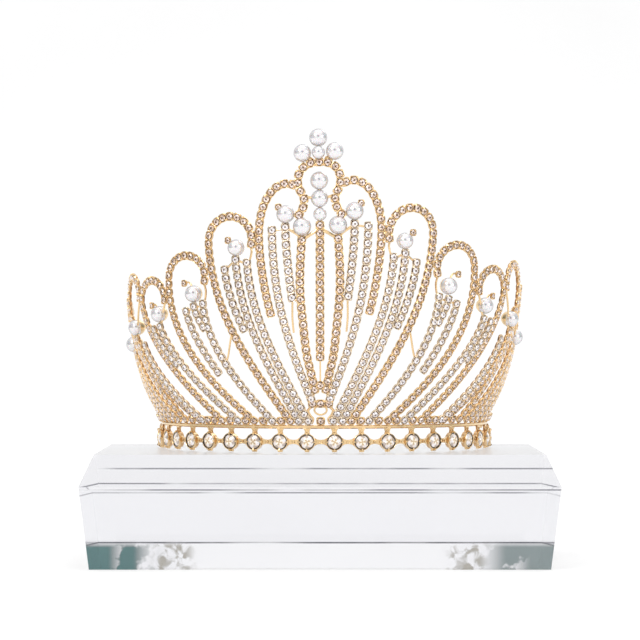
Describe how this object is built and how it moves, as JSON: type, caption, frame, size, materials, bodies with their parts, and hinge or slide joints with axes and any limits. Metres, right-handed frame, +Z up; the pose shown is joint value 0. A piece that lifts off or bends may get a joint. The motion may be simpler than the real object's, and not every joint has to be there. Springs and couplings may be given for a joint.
{
  "type": "crystal crown on a clear display block",
  "caption": "Open-backed crown of arched crystal chains, swept strands, pearls and a band of cut stones, standing on a clear chamfered display block.",
  "frame": {"origin": "middle of the display block's underside, on the surface it stands on", "axes": "+Z up, -Y toward the front of the crown, +X to the right as seen from the front"},
  "size_m": [0.1954, 0.14, 0.1789],
  "materials": {
    "pale_gold": "polished pale gold plating",
    "crystal": "cut and polished",
    "pearl": "pearl lustre",
    "clear_block": "polished clear"
  },
  "bodies": {
    "root": {"display_block": "clear_block", "band": "pale_gold", "crest": "pale_gold", "centre_fan": "pale_gold", "fan_left_2": "pale_gold", "fan_left_3": "pale_gold", "fan_left_4": "pale_gold", "fan_left_5": "pale_gold", "fan_left_6": "pale_gold", "fan_right_2": "pale_gold", "fan_right_3": "pale_gold", "fan_right_4": "pale_gold", "fan_right_5": "pale_gold", "fan_right_6": "pale_gold", "band_stone_01": "crystal", "band_stone_02": "crystal", "band_stone_03": "crystal", "band_stone_04": "crystal", "band_stone_05": "crystal", "band_stone_06": "crystal", "band_stone_07": "crystal", "band_stone_08": "crystal", "band_stone_09": "crystal", "band_stone_10": "crystal", "band_stone_11": "crystal", "band_stone_12": "crystal", "band_stone_13": "crystal", "band_stone_14": "crystal", "band_stone_15": "crystal", "band_stone_16": "crystal", "band_stone_17": "crystal", "band_stone_18": "crystal", "band_stone_19": "crystal", "band_stone_20": "crystal", "band_stone_21": "crystal", "band_stone_22": "crystal", "pearl_01": "pearl", "pearl_02": "pearl", "pearl_03": "pearl", "pearl_04": "pearl", "pearl_05": "pearl", "pearl_06": "pearl", "pearl_07": "pearl", "pearl_08": "pearl", "pearl_09": "pearl", "pearl_10": "pearl", "pearl_11": "pearl", "pearl_12": "pearl", "pearl_13": "pearl", "pearl_14": "pearl", "pearl_15": "pearl", "pearl_16": "pearl", "pearl_17": "pearl", "pearl_18": "pearl", "pearl_19": "pearl", "pearl_20": "pearl", "pearl_21": "pearl"}
  },
  "joints": []
}
